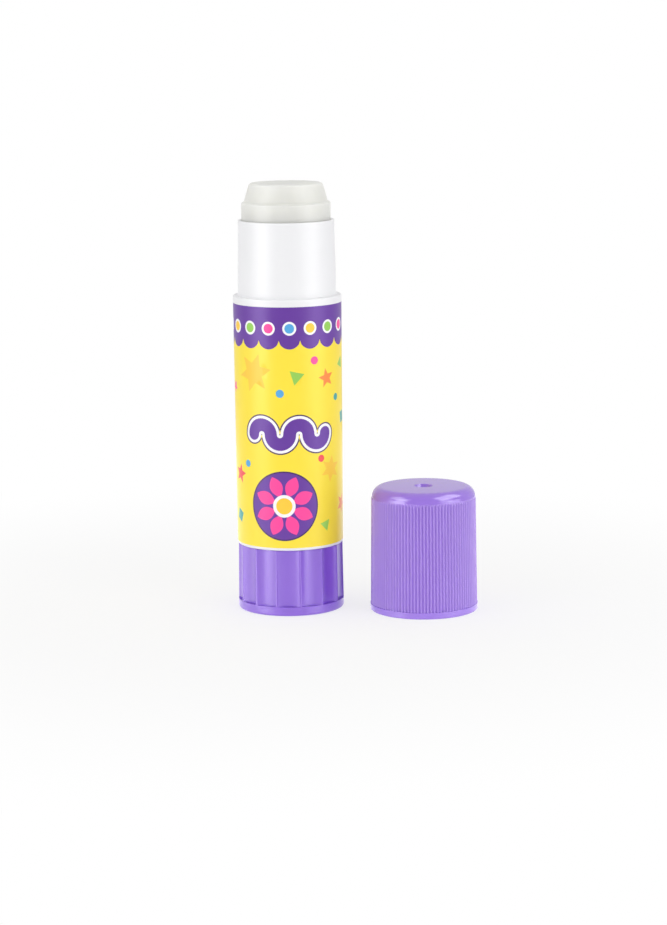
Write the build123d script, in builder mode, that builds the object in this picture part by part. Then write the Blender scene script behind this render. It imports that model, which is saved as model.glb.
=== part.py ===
from build123d import *
import math
import os

# A twist-up glue stick that stands on its turning knob, with its cap taken off and stood beside it.
# Millimetres, +Z up. The origin is the middle of the knob's foot, and +X points from stick to cap.

os.makedirs("parts", exist_ok=True)

# Cuts run past the faces that they open by this much
overrun = 1.0

# Glue column, the size that the bore, the neck and the cap are built round
glue_r = 9.73
glue_proud = 3.65
glue_shoulder_round = 0.2
tip_foot_r = 9.06
tip_step = 0.45
tip_top_r = 7.97
tip_height = 3.9
tip_edge_round = 0.8

# Tube: one white moulding with the guide ribs in its bore, a collar, a ledge and the neck
bore_play = 0.09
neck_rim_wall = 0.67
neck_taper = 0.21
neck_length = 16.3
neck_seat_length = 4.85
neck_top_length = 2.85
neck_rim_round = 0.2
body_length = 54.92
body_taper = 0.2
ledge_round = 0.35
body_foot_round = 0.3
collar_height = 1.6
collar_proud = 0.01
foot_edge_height = 0.62
guide_rib_width = 1.0
guide_rib_height = 0.45
guide_rib_count = 2
guide_rib_below_rim = 3.0

# Label: a printed film sleeve that lies in a shallow recess of the tube
label_thickness = 0.1
label_seam = 0.4

# Knob: the fluted foot that is turned, with a ring that clicks into the tube's foot
knob_height = 14.53
knob_axial_play = 0.1
knob_running_play = 0.05
flange_height = 2.03
flange_foot_round = 0.5
ridge_below_body = 0.15
ridge_taper = 0.15
ridge_turn = 6.6
flute_count = 14
flute_depth = 0.8
ridge_land = 0.3
knob_floor = 1.6
ring_height = 5.4
ring_wall = 0.75
socket_depth = 5.6
socket_step = 0.6
bead_height = 0.35
bead_place = 3.6
bead_half = 0.55
bead_crest_half = 0.2
foot_pad_r = 3.5
foot_rim_width = 2.2
foot_recess = 0.4
web_count = 4
web_width = 1.0
web_height = 6.0

# Spindle: the lead screw, its hexagonal foot pressed into the knob
thread_lead = 6.0
thread_starts = 2
thread_root_r = 2.2
thread_crest_r = 3.0
crest_half_angle = 24.0
flank_angle = 12.0
hex_across_half = 3.2
hex_length = 7.9
hex_boss_wall = 1.5
spindle_collar_r = 4.4
spindle_collar_height = 1.2
spindle_nose_step = 0.3
spindle_nose_height = 1.2
spindle_nose_chamfer = 0.5
thread_engagement = 6.0

# Carrier: the cup that holds the glue, with the nut that runs on the spindle
carrier_play = 0.08
carrier_wall = 1.1
carrier_skirt_depth = 12.5
carrier_floor = 1.4
carrier_cup_depth = 3.0
carrier_lip_chamfer = 0.3
nut_wall = 2.2
nut_length = 9.0
nut_radial_play = 0.12
nut_flank_play = 0.15
carrier_web_count = 6
carrier_web_width = 0.9
carrier_web_drop = 5.0
vane_count = 4
vane_width = 0.8
stop_gap = 0.3
turns_up = 1.0
top_gap = 1.3
guide_play = 0.1
glue_hole_play = 0.3
glue_hole_end_play = 0.5

# Cap: a ribbed cup with a sealing skirt inside that plugs the neck
cap_spacing = 29.7
cap_play = 0.05
cap_wall = 1.1
cap_height = 27.47
cap_band_height = 1.45
cap_band_step = 0.1
cap_foot_round = 0.3
cap_taper = 0.28
cap_bore_taper = 0.25
cap_seat_spare = 0.15
cap_mouth_chamfer = 0.25
crown_width = 2.28
crown_height = 2.64
crown_wall = 1.3
rib_count = 100
rib_groove_r = 0.22
rib_groove_into_crown = 0.25
dimple_r = 2.05
dimple_slope = 0.5
dimple_depth = 0.6
gate_r = 0.4
gate_height = 0.25
seal_wall = 0.5
seal_play = 0.08
seal_plug_depth = 1.5
seal_plug_step = 0.12
seal_draft = 0.4
seal_lead_in = 0.2

# Radii that follow from the glue column outwards
bore_r = glue_r + bore_play
neck_top_r = bore_r + neck_rim_wall
neck_seat_r = neck_top_r + neck_taper
cap_bore_r = neck_seat_r + cap_play
cap_band_r = cap_bore_r + cap_wall
collar_r = cap_band_r + collar_proud
body_foot_r = collar_r - body_taper
socket_r = bore_r + socket_step
ring_r = socket_r - knob_running_play
knob_bore_r = ring_r - ring_wall
barrel_top_r = body_foot_r - ridge_below_body
flange_r = barrel_top_r + ridge_taper
carrier_r = bore_r - carrier_play
cup_r = carrier_r - carrier_wall
nut_r = thread_crest_r + nut_wall
boss_r = hex_across_half / math.cos(math.radians(30)) + hex_boss_wall

# Heights that follow from the floor upwards
body_foot_z = knob_height + knob_axial_play
ledge_z = body_foot_z + body_length
rim_z = ledge_z + neck_length
label_foot_z = body_foot_z + foot_edge_height
label_top_z = ledge_z - collar_height
guide_foot_z = body_foot_z + socket_depth
guide_top_z = rim_z - guide_rib_below_rim
raised = thread_lead * turns_up
carrier_foot_z = knob_height + ring_height + stop_gap + raised
carrier_floor_z = carrier_foot_z + carrier_skirt_depth
carrier_deck_z = carrier_floor_z + carrier_floor
carrier_lip_z = carrier_deck_z + carrier_cup_depth
nut_foot_z = carrier_floor_z - nut_length
travel_up = rim_z - top_gap - carrier_lip_z
spindle_foot_z = knob_floor
hex_top_z = spindle_foot_z + hex_length
thread_foot_z = hex_top_z + spindle_collar_height
thread_top_z = nut_foot_z + travel_up + thread_engagement
shoulder_z = rim_z + glue_proud
tip_foot_z = shoulder_z + tip_step
glue_top_z = tip_foot_z + tip_height
glue_hole_top_z = thread_top_z + spindle_nose_height + raised + glue_hole_end_play


def body_radius(height):
    """Outer radius of the slightly tapered body at a height, in a straight line from foot to ledge."""
    return body_foot_r + body_taper * (height - body_foot_z) / body_length


def at_angle(radius, degrees):
    """The point of a circle about the axis at an angle."""
    return (radius * math.cos(math.radians(degrees)), radius * math.sin(math.radians(degrees)))


def thread_section(height, radial_growth, flank_growth):
    """The screw's cross-section at a height: one lobe for each start, turned by the lead."""
    crest_r = thread_crest_r + radial_growth
    root_r = thread_root_r + radial_growth
    crest_half = crest_half_angle + math.degrees(flank_growth / thread_crest_r)
    root_half = crest_half + flank_angle
    pitch_angle = 360 / thread_starts
    with BuildSketch(Plane.XY.offset(height).rotated((0, 0, -360 * height / thread_lead))) as lobes:
        with BuildLine():
            for start in range(thread_starts):
                middle = pitch_angle * start
                next_middle = middle + pitch_angle
                CenterArc((0, 0), crest_r, middle - crest_half, 2 * crest_half)
                Line(at_angle(crest_r, middle + crest_half), at_angle(root_r, middle + root_half))
                CenterArc((0, 0), root_r, middle + root_half, pitch_angle - 2 * root_half)
                Line(at_angle(root_r, next_middle - root_half), at_angle(crest_r, next_middle - crest_half))
        make_face()
    return lobes.sketch.faces()[0]


def left_hand_thread(low, high, radial_growth, flank_growth):
    """The screw's solid between two heights, left-handed: its nut rises as it turns to the left."""
    length = high - low
    section_face = thread_section(low, radial_growth, flank_growth)
    twist = -360 * length / thread_lead
    return Solid.extrude_linear_with_rotation(section_face, (0, 0, low), (0, 0, length), twist)


# Tube
with BuildPart() as tube:
    with BuildSketch(Plane.XZ) as tube_half:
        with BuildLine():
            Polyline(
                (socket_r, body_foot_z),
                (body_foot_r, body_foot_z),
                (body_radius(label_foot_z), label_foot_z),
                (body_radius(label_foot_z) - label_thickness, label_foot_z),
                (body_radius(label_top_z) - label_thickness, label_top_z),
                (body_radius(label_top_z), label_top_z),
                (collar_r, ledge_z),
                (neck_seat_r, ledge_z),
                (neck_seat_r, ledge_z + neck_seat_length),
                (neck_top_r, rim_z - neck_top_length),
                (neck_top_r, rim_z),
                (bore_r, rim_z),
                (bore_r, guide_foot_z),
                (socket_r, guide_foot_z),
                close=True,
            )
        make_face()
        fillet(tube_half.vertices().group_by(Axis.X)[-1].sort_by(Axis.Y)[-1], radius=ledge_round)
        foot_corner = tube_half.vertices().group_by(Axis.Y)[0].sort_by(Axis.X)[-1]
        fillet(foot_corner, radius=body_foot_round)
        rim_corner = tube_half.vertices().group_by(Axis.Y)[-1].sort_by(Axis.X)[-1]
        fillet(rim_corner, radius=neck_rim_round)
    revolve(axis=Axis.Z)
    # Groove in the socket that the knob's bead clicks into
    with BuildSketch(Plane.XZ):
        with BuildLine():
            groove_z = knob_height + bead_place
            groove_r = socket_r + bead_height
            reach = bead_half + knob_axial_play
            Polyline(
                (socket_r - overrun, groove_z - reach),
                (socket_r, groove_z - reach),
                (groove_r, groove_z - bead_crest_half - knob_axial_play),
                (groove_r, groove_z + bead_crest_half + knob_axial_play),
                (socket_r, groove_z + reach),
                (socket_r - overrun, groove_z + reach),
                close=True,
            )
        make_face()
    revolve(axis=Axis.Z, mode=Mode.SUBTRACT)
    # Guide ribs that keep the carrier from turning
    with BuildSketch(Plane.XY.offset(guide_foot_z)):
        with BuildLine():
            guide_reach = bore_r + neck_rim_wall / 2
            Polyline(
                (bore_r - guide_rib_height, -guide_rib_width / 2),
                (guide_reach, -guide_rib_width / 2),
                (guide_reach, guide_rib_width / 2),
                (bore_r - guide_rib_height, guide_rib_width / 2),
                close=True,
            )
        guide_rib = make_face(mode=Mode.PRIVATE)
        with PolarLocations(0, guide_rib_count):
            add(guide_rib)
    extrude(amount=guide_top_z - guide_foot_z)
tube.part.label = "tube"
export_step(tube.part, "parts/tube.step")

# Label
with BuildPart() as label:
    with BuildSketch(Plane.XZ):
        with BuildLine():
            Polyline(
                (body_radius(label_foot_z) - label_thickness, label_foot_z),
                (body_radius(label_foot_z), label_foot_z),
                (body_radius(label_top_z), label_top_z),
                (body_radius(label_top_z) - label_thickness, label_top_z),
                close=True,
            )
        make_face()
    revolve(axis=Axis.Z)
    # The seam at the back, where the two ends of the film meet
    with BuildSketch(Plane.XY.offset(label_foot_z - overrun)):
        with Locations((0, collar_r)):
            Rectangle(label_seam, collar_r)
    extrude(amount=label_top_z - label_foot_z + 2 * overrun, mode=Mode.SUBTRACT)
label.part.label = "label"
export_step(label.part, "parts/label.step")

# Knob, whose flutes get their radius from their depth and the distance between ridges
bead_z = knob_height + bead_place
ring_top_z = knob_height + ring_height
half_chord = flange_r * math.sin(math.pi / flute_count) - ridge_land / 2
flute_sag = flute_depth - flange_r + math.sqrt(flange_r**2 - half_chord**2)
flute_r = (half_chord**2 + flute_sag**2) / (2 * flute_sag)
flute_middle_r = flange_r - flute_depth + flute_r
barrel_height = knob_height - flange_height
lean = math.degrees(math.atan(ridge_taper / barrel_height))
with BuildPart() as flute:
    with Locations(Location((flute_middle_r, 0, flange_height), (0, -lean, 0))):
        Cylinder(flute_r, 2 * (barrel_height + overrun))
    split(bisect_by=Plane.XY.offset(flange_height), keep=Keep.TOP)
with BuildPart() as knob:
    with BuildSketch(Plane.XZ) as knob_half:
        with BuildLine():
            Polyline(
                (0, 0),
                (flange_r, 0),
                (flange_r, flange_height),
                (barrel_top_r, knob_height),
                (ring_r, knob_height),
                (ring_r, bead_z - bead_half),
                (ring_r + bead_height, bead_z - bead_crest_half),
                (ring_r + bead_height, bead_z + bead_crest_half),
                (ring_r, bead_z + bead_half),
                (ring_r, ring_top_z),
                (0, ring_top_z),
                close=True,
            )
        make_face()
        fillet(knob_half.vertices().group_by(Axis.X)[-1].sort_by(Axis.Y)[0], radius=flange_foot_round)
    revolve(axis=Axis.Z)
    # Concave flutes between the ridges
    with PolarLocations(0, flute_count, start_angle=ridge_turn + 180 / flute_count):
        add(flute.part, mode=Mode.SUBTRACT)
    # The hollow inside
    with BuildSketch(Plane.XY.offset(knob_floor)):
        Circle(knob_bore_r)
    extrude(amount=ring_top_z - knob_floor + overrun, mode=Mode.SUBTRACT)
    # Boss and webs that hold the spindle
    with BuildSketch(Plane.XY.offset(knob_floor)):
        Circle(boss_r)
    extrude(amount=hex_length)
    with BuildSketch(Plane.XY.offset(knob_floor)):
        for turn in range(web_count):
            web_middle = at_angle((boss_r + knob_bore_r) / 2, 360 * turn / web_count)
            with Locations(Location((*web_middle, 0), (0, 0, 360 * turn / web_count))):
                Rectangle(knob_bore_r - boss_r + 2 * web_width, web_width)
    extrude(amount=web_height)
    with BuildSketch(Plane.XY.offset(spindle_foot_z)):
        RegularPolygon(hex_across_half, 6, major_radius=False)
    extrude(amount=hex_length + overrun, mode=Mode.SUBTRACT)
    # Recess under the foot, between the middle pad and the rim that it stands on
    with BuildSketch():
        Circle(flange_r - foot_rim_width)
        Circle(foot_pad_r, mode=Mode.SUBTRACT)
    extrude(amount=foot_recess, mode=Mode.SUBTRACT)
knob.part.label = "knob"
export_step(knob.part, "parts/knob.step")

# Spindle
with BuildPart() as spindle:
    with BuildSketch(Plane.XY.offset(spindle_foot_z)):
        RegularPolygon(hex_across_half, 6, major_radius=False)
    extrude(amount=hex_length)
    with BuildSketch(Plane.XY.offset(hex_top_z)):
        Circle(spindle_collar_r)
    extrude(amount=spindle_collar_height)
    add(left_hand_thread(thread_foot_z, thread_top_z, 0, 0))
    with BuildSketch(Plane.XY.offset(thread_top_z)):
        Circle(thread_root_r - spindle_nose_step)
    extrude(amount=spindle_nose_height)
    nose_edge = spindle.edges().filter_by(GeomType.CIRCLE).sort_by(Axis.Z)[-1]
    chamfer(nose_edge, length=spindle_nose_chamfer)
spindle.part.label = "spindle"
export_step(spindle.part, "parts/spindle.step")

# Carrier
with BuildPart() as carrier:
    with BuildSketch(Plane.XZ):
        with BuildLine():
            Polyline(
                (cup_r, carrier_foot_z),
                (carrier_r, carrier_foot_z),
                (carrier_r, carrier_lip_z),
                (cup_r + carrier_lip_chamfer, carrier_lip_z),
                (cup_r, carrier_lip_z - carrier_lip_chamfer),
                (cup_r, carrier_deck_z),
                (0, carrier_deck_z),
                (0, nut_foot_z),
                (nut_r, nut_foot_z),
                (nut_r, carrier_floor_z),
                (cup_r, carrier_floor_z),
                close=True,
            )
        make_face()
    revolve(axis=Axis.Z)
    # Webs under the floor, from the nut to the skirt
    with BuildSketch(Plane.XY.offset(carrier_floor_z - carrier_web_drop)):
        for turn in range(carrier_web_count):
            web_angle = 360 * (turn + 0.5) / carrier_web_count
            web_middle = at_angle((nut_r + cup_r) / 2, web_angle)
            with Locations(Location((*web_middle, 0), (0, 0, web_angle))):
                Rectangle(cup_r - nut_r + carrier_web_width, carrier_web_width)
    extrude(amount=carrier_web_drop + carrier_floor / 2)
    # Vanes on the floor that anchor the glue
    with BuildSketch(Plane.XY.offset(carrier_deck_z - carrier_floor / 2)):
        for turn in range(vane_count):
            vane_angle = 360 * (turn + 0.5) / vane_count
            vane_middle = at_angle((nut_r + cup_r) / 2, vane_angle)
            with Locations(Location((*vane_middle, 0), (0, 0, vane_angle))):
                Rectangle(cup_r - nut_r + vane_width, vane_width)
    extrude(amount=carrier_cup_depth - carrier_lip_chamfer + carrier_floor / 2)
    # Threaded hole that runs on the spindle
    add(
        left_hand_thread(
            nut_foot_z - overrun,
            carrier_deck_z + overrun,
            nut_radial_play,
            nut_flank_play,
        ),
        mode=Mode.SUBTRACT,
    )
    # Notches that ride on the tube's guide ribs
    with BuildSketch(Plane.XY.offset(carrier_foot_z - overrun)) as guide_notches:
        notch_floor_r = bore_r - guide_rib_height - guide_play
        with PolarLocations((notch_floor_r + bore_r) / 2 + overrun / 2, guide_rib_count):
            Rectangle(bore_r - notch_floor_r + overrun, guide_rib_width + 2 * guide_play)
    extrude(amount=carrier_lip_z - carrier_foot_z + 2 * overrun, mode=Mode.SUBTRACT)
carrier.part.label = "carrier"
export_step(carrier.part, "parts/carrier.step")

# Glue column, cast on the carrier, with the tip that the cap's seal shaped
with BuildPart() as glue_column:
    with BuildSketch(Plane.XZ) as glue_half:
        with BuildLine():
            Polyline(
                (0, carrier_deck_z),
                (glue_r, carrier_deck_z),
                (glue_r, shoulder_z),
                (tip_foot_r, tip_foot_z),
                (tip_top_r, glue_top_z),
                (0, glue_top_z),
                close=True,
            )
        make_face()
        fillet(glue_half.vertices().group_by(Axis.X)[-1].sort_by(Axis.Y)[-1], radius=glue_shoulder_round)
        fillet(glue_half.vertices().group_by(Axis.Y)[-1].sort_by(Axis.X)[-1], radius=tip_edge_round)
    revolve(axis=Axis.Z)
    add(carrier.part, mode=Mode.SUBTRACT)
    # Hole that the spindle runs up into
    with BuildSketch(Plane.XY.offset(carrier_deck_z - overrun)):
        Circle(thread_crest_r + glue_hole_play)
    extrude(amount=glue_hole_top_z - carrier_deck_z + overrun, mode=Mode.SUBTRACT)
    # Grooves that the guide ribs leave in its side
    with BuildSketch(Plane.XY.offset(carrier_deck_z - overrun)):
        add(guide_notches.sketch.moved(Location((0, 0, carrier_deck_z - carrier_foot_z))))
    groove_length = guide_top_z + raised + guide_play - carrier_deck_z
    extrude(amount=groove_length + overrun, mode=Mode.SUBTRACT)
glue_column.part.label = "glue_column"
export_step(glue_column.part, "parts/glue_column.step")

# Cap, stood on its mouth beside the stick
cap_axis = Plane.XY.move(Location((cap_spacing, 0, 0)))
cap_face = Plane.XZ.move(Location((cap_spacing, 0, 0)))
cap_wall_foot_r = cap_band_r - cap_band_step
cap_wall_top_r = cap_wall_foot_r - cap_taper
cap_seat_z = neck_seat_length + cap_seat_spare
cap_bore_top_r = cap_bore_r - cap_bore_taper
cap_ceiling_z = cap_height - crown_wall
crown_foot_z = cap_height - crown_height
crown_r = cap_wall_top_r - crown_width
seal_foot_z = neck_length - seal_plug_depth
seal_r = bore_r - seal_play
seal_stem_r = seal_r - seal_plug_step
seal_bore_r = seal_r - seal_wall
with BuildPart(cap_axis) as cap:
    with BuildSketch(cap_face) as cap_half:
        with BuildLine():
            Polyline(
                (crown_r, cap_height),
                (0, cap_height),
                (0, cap_ceiling_z),
                (cap_bore_top_r, cap_ceiling_z),
                (cap_bore_r, cap_seat_z),
                (cap_bore_r, 0),
                (cap_band_r, 0),
                (cap_band_r, cap_band_height),
                (cap_wall_foot_r, cap_band_height),
                (cap_wall_top_r, crown_foot_z),
            )
            EllipticalCenterArc((crown_r, crown_foot_z), crown_width, crown_height, arc_size=90)
        make_face()
        fillet(cap_half.vertices().group_by(Axis.Y)[0].sort_by(Axis.X)[-1], radius=cap_foot_round)
        chamfer(cap_half.vertices().group_by(Axis.Y)[0].sort_by(Axis.X)[0], length=cap_mouth_chamfer)
    revolve(axis=Axis((cap_spacing, 0, 0), (0, 0, 1)))
    # Sealing skirt that hangs from the crown and plugs the neck when the cap is on
    with BuildSketch(cap_face):
        with BuildLine():
            Polyline(
                (seal_bore_r - seal_draft, cap_ceiling_z + crown_wall / 2),
                (seal_bore_r - seal_draft, cap_ceiling_z),
                (seal_bore_r, seal_foot_z),
                (seal_r - seal_lead_in, seal_foot_z),
                (seal_r, seal_foot_z + seal_lead_in),
                (seal_r, neck_length),
                (seal_stem_r, neck_length + seal_plug_step),
                (seal_stem_r, cap_ceiling_z + crown_wall / 2),
                close=True,
            )
        make_face()
    revolve(axis=Axis((cap_spacing, 0, 0), (0, 0, 1)))
    # Gate dimple in the middle of the crown, with the stub that the moulding leaves
    with BuildSketch(cap_face):
        with BuildLine():
            dimple_floor_z = cap_height - dimple_depth
            Polyline(
                (0, cap_height + overrun),
                (dimple_r, cap_height + overrun),
                (dimple_r, cap_height),
                (dimple_r - dimple_slope, dimple_floor_z),
                (gate_r, dimple_floor_z),
                (gate_r, dimple_floor_z + gate_height),
                (0, dimple_floor_z + gate_height),
                close=True,
            )
        make_face()
    revolve(axis=Axis((cap_spacing, 0, 0), (0, 0, 1)), mode=Mode.SUBTRACT)
    # Half-round grooves between the grip ribs, leaning with the wall and ending in the foot of the crown
    cap_wall_height = crown_foot_z - cap_band_height
    cap_lean = math.degrees(math.atan(cap_taper / cap_wall_height))
    with PolarLocations(cap_wall_foot_r, rib_count):
        with Locations(Location((0, 0, cap_band_height), (0, -cap_lean, 0))):
            Cylinder(
                rib_groove_r,
                cap_wall_height + rib_groove_into_crown,
                align=(Align.CENTER, Align.CENTER, Align.MIN),
                mode=Mode.SUBTRACT,
            )
cap.part.label = "cap"
export_step(cap.part, "parts/cap.step")
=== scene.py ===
import math

import bpy
import numpy as np
from mathutils import Matrix, Vector
from mathutils.geometry import delaunay_2d_cdt


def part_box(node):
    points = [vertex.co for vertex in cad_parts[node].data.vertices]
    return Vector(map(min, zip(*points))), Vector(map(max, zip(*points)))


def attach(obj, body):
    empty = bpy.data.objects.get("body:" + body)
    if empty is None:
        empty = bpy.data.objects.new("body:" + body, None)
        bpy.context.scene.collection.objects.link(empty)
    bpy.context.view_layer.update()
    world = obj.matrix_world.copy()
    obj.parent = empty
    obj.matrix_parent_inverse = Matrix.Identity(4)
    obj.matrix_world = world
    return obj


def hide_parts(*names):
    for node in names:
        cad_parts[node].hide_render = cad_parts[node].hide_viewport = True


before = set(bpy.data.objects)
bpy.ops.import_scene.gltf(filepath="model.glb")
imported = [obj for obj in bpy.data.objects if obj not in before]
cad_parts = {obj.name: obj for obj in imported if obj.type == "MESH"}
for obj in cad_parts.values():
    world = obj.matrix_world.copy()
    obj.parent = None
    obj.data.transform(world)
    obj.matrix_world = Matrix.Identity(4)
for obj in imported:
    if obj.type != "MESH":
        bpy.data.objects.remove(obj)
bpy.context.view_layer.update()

# Tube: the white body of the stick, one polypropylene moulding. Its wall steps in at a ledge to the thin neck
# that the cap goes over, and two guide ribs inside the bore keep the carrier from turning. Its foot holds the
# knob's ring by a click groove. Sizes are in millimetres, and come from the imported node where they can.

MM = 0.001
tube_low, tube_high = (np.array(corner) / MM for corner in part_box("tube"))
tube_foot_z, rim_z = tube_low[2], tube_high[2]
collar_r, collar_lean, body_taper = tube_high[0], 0.005, 0.2
neck_length = 16.3
ledge_z = rim_z - neck_length
bore_r = 9.82
socket_r, socket_depth = 10.42, 5.6
groove_depth, groove_half, groove_floor_half = 0.35, 0.65, 0.3
groove_middle_z = tube_foot_z + 3.5
neck_seat_r, neck_seat_length = 10.70, 4.85
neck_rim_r, neck_rim_length = 10.49, 2.85
neck_rim_round, neck_foot_round, ledge_round, body_foot_round, mouth_round = 0.18, 0.12, 0.35, 0.3, 0.1
label_low, label_high = (np.array(corner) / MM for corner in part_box("label"))
label_foot_z, label_top_z = label_low[2], label_high[2]
film_thickness, recess_round = 0.1, 0.03
guide_rib_height, guide_rib_width = 0.45, 1.0
guide_top_z, guide_top_chamfer = rim_z - 3.0, 0.15

# How far an extra row stands from the end of a rounding, and from a sudden change of shape
corner_guard, hair = 0.05, 0.01


def rounded(corners, closed=True, arc_steps=7):
    """Rows of an outline through (radius, height, rounding) corners.

    A corner with a rounding becomes the arc that is tangent to both its sides: it starts and ends at
    rounding / tan(half the corner's angle) from the corner, and its points are blended between those two
    ends by the sines of the angles that are left. A row just outside each arc keeps long walls flat."""
    points = np.array([corner[:2] for corner in corners], float)
    rows = []
    for place, (point, corner) in enumerate(zip(points, corners)):
        at_end = not closed and place in (0, len(corners) - 1)
        if at_end or corner[2] == 0:
            rows.append(point)
            continue
        before = points[place - 1] - point
        after = points[(place + 1) % len(points)] - point
        lengths = np.linalg.norm(before), np.linalg.norm(after)
        before, after = before / lengths[0], after / lengths[1]
        half = np.arccos(np.clip(before @ after, -1, 1)) / 2
        reach = corner[2] / math.tan(half)
        centre = point + (before + after) / np.linalg.norm(before + after) * corner[2] / math.sin(half)
        start, end = point + before * reach - centre, point + after * reach - centre
        share = np.linspace(0, 1, arc_steps)[:, None]
        sweep = math.pi - 2 * half
        arc = centre + (np.sin((1 - share) * sweep) * start + np.sin(share * sweep) * end) / math.sin(sweep)
        rows.append(point + before * min(reach + corner_guard, (reach + lengths[0]) / 2))
        rows.extend(arc)
        rows.append(point + after * min(reach + corner_guard, (reach + lengths[1]) / 2))
    return np.array(rows)


def placed(name, data):
    """An object made of a mesh, a lamp or a camera, put into the scene."""
    made = bpy.data.objects.new(name, data)
    bpy.context.scene.collection.objects.link(made)
    return made


def turned(name, outline, turns, shape, axis_x=0.0, sharp_degrees=40):
    """A closed skin turned about an upright axis at x = axis_x.

    Grid point (row, turn) lies at the outline row's radius and height, carried round to that angle. shape
    takes the grids of radius, height and angle and gives back the radius and height with its relief on. An
    outline that starts or ends at radius 0 closes in a pole there, and any other closes on its first row."""
    angle = np.broadcast_to(turns, (len(outline), len(turns)))
    radius = np.repeat(outline[:, :1], len(turns), 1)
    height = np.repeat(outline[:, 1:2], len(turns), 1)
    radius, height = shape(radius, height, angle)
    grid = np.stack([axis_x + radius * np.cos(angle), radius * np.sin(angle), height], -1)
    index = np.arange(grid.shape[0] * grid.shape[1]).reshape(grid.shape[:2])
    poles = [row for row in (0, len(outline) - 1) if outline[row, 0] == 0]
    for row in poles:
        index[row] = index[row, 0]
        grid[row] = grid[row].mean(0)
    if not poles:
        index = np.vstack([index, index[:1]])
    near, far = index, np.roll(index, -1, 1)
    quads = np.stack([near[:-1], near[1:], far[1:], far[:-1]], -1).reshape(-1, 4)
    used, compact = np.unique(quads, return_inverse=True)
    quads = compact.reshape(-1, 4)
    top_pole = quads[:, 0] == quads[:, 3]
    low_pole = quads[:, 1] == quads[:, 2]
    faces = quads[~(top_pole | low_pole)].tolist()
    faces += quads[top_pole][:, [0, 1, 2]].tolist() + quads[low_pole][:, [0, 1, 3]].tolist()
    mesh = bpy.data.meshes.new(name)
    mesh.from_pydata((grid.reshape(-1, 3)[used] * MM).tolist(), [], faces)
    mesh.shade_smooth()
    mesh.set_sharp_from_angle(angle=math.radians(sharp_degrees))
    return placed(name, mesh)


def round_turns(count, *extra):
    """Evenly spaced angles round the circle, with some extra angles, in radians and in order."""
    turns = np.concatenate([np.arange(count) * 2 * math.pi / count, np.ravel(extra)])
    return np.unique(np.round(turns % (2 * math.pi), 6))


def guide_relief(angle, half_width, radius):
    """1 over the two guides at 0 and 180 degrees, out to half_width at the given radius, and 0 elsewhere."""
    across = np.abs(np.sin(angle)) * radius
    return (across < half_width).astype(float)


def guide_edges(half_width, radius):
    """Angles just inside and just outside the edges of both guides, so that their sides stand upright."""
    edge, spread = math.asin(half_width / radius), 0.0004
    reaches = (edge - spread, edge + spread)
    return [turn + side * reach for turn in (0, math.pi) for side in (-1, 1) for reach in reaches]


def tube_shape(radius, height, angle):
    """Guide ribs stand in from the bore, from the socket up to their top."""
    in_bore = (radius <= bore_r) & (height <= guide_top_z)
    rib = guide_relief(angle, guide_rib_width / 2, bore_r - guide_rib_height)
    return radius - guide_rib_height * rib * in_bore, height


def srgb(red, green, blue):
    """A colour given in 0 to 255 as displayed, turned into the linear values that a shader takes."""
    share = np.array([red, green, blue]) / 255
    linear = np.where(share <= 0.04045, share / 12.92, ((share + 0.055) / 1.055) ** 2.4)
    return (*linear.tolist(), 1.0)


def add_node(tree, kind, inputs=None, **settings):
    """A shader node of one kind with its settings. inputs sets or links its sockets by name."""
    made = tree.nodes.new(kind)
    for name, value in settings.items():
        setattr(made, name, value)
    for name, value in (inputs or {}).items():
        if isinstance(value, bpy.types.NodeSocket):
            tree.links.new(value, made.inputs[name])
        else:
            made.inputs[name].default_value = value
    return made


def math_node(tree, operation, first, second=0.0, third=0.0):
    """One arithmetic step between sockets or numbers, and its result."""
    return add_node(tree, "ShaderNodeMath", {0: first, 1: second, 2: third}, operation=operation).outputs[0]


def wavering(tree, base, value, swing, middle=0.5):
    """A number that wavers: the base plus the swing times how far the value is from its middle."""
    return math_node(tree, "MULTIPLY_ADD", math_node(tree, "SUBTRACT", value, middle), swing, base)


def eased(tree, value, start, end, low=0.0, high=1.0):
    """A number that eases from low to high as the value runs from start to end."""
    inputs = {"Value": value, "From Min": start, "From Max": end, "To Min": low, "To Max": high}
    return add_node(tree, "ShaderNodeMapRange", inputs, interpolation_type="SMOOTHSTEP").outputs[0]


def scaled(tree, colour, share):
    """A colour times a number."""
    return add_node(tree, "ShaderNodeVectorMath", {0: colour, "Scale": share}, operation="SCALE").outputs[0]


def noise(tree, coordinates, scale, detail=2.0, stretch=(1, 1, 1), roughness=0.5):
    """Value of a noise whose cells measure 1 / scale metres, stretched along the object's own axes."""
    mapped = add_node(tree, "ShaderNodeMapping", {"Vector": coordinates, "Scale": stretch})
    inputs = {"Vector": mapped.outputs[0], "Scale": scale, "Detail": detail, "Roughness": roughness}
    return add_node(tree, "ShaderNodeTexNoise", inputs).outputs[0]


def new_group(name, given):
    """An empty shader node group that takes the given colours and numbers by name, and puts out a colour, a
    roughness and a height. It comes with the sockets of what it takes."""
    tree = bpy.data.node_groups.new(name, "ShaderNodeTree")
    for label, value in given.items():
        kind = "NodeSocketColor" if isinstance(value, tuple) else "NodeSocketFloat"
        tree.interface.new_socket(label, in_out="INPUT", socket_type=kind).default_value = value
    for label, kind in (("Colour", "Color"), ("Roughness", "Float"), ("Height", "Float")):
        tree.interface.new_socket(label, in_out="OUTPUT", socket_type="NodeSocket" + kind)
    return tree, tree.nodes.new("NodeGroupInput").outputs


def end_group(tree, colour, roughness, height):
    """Leads the three results to the group's output sockets."""
    last = tree.nodes.new("NodeGroupOutput")
    for label, socket in (("Colour", colour), ("Roughness", roughness), ("Height", height)):
        tree.links.new(socket, last.inputs[label])
    return tree


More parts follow.
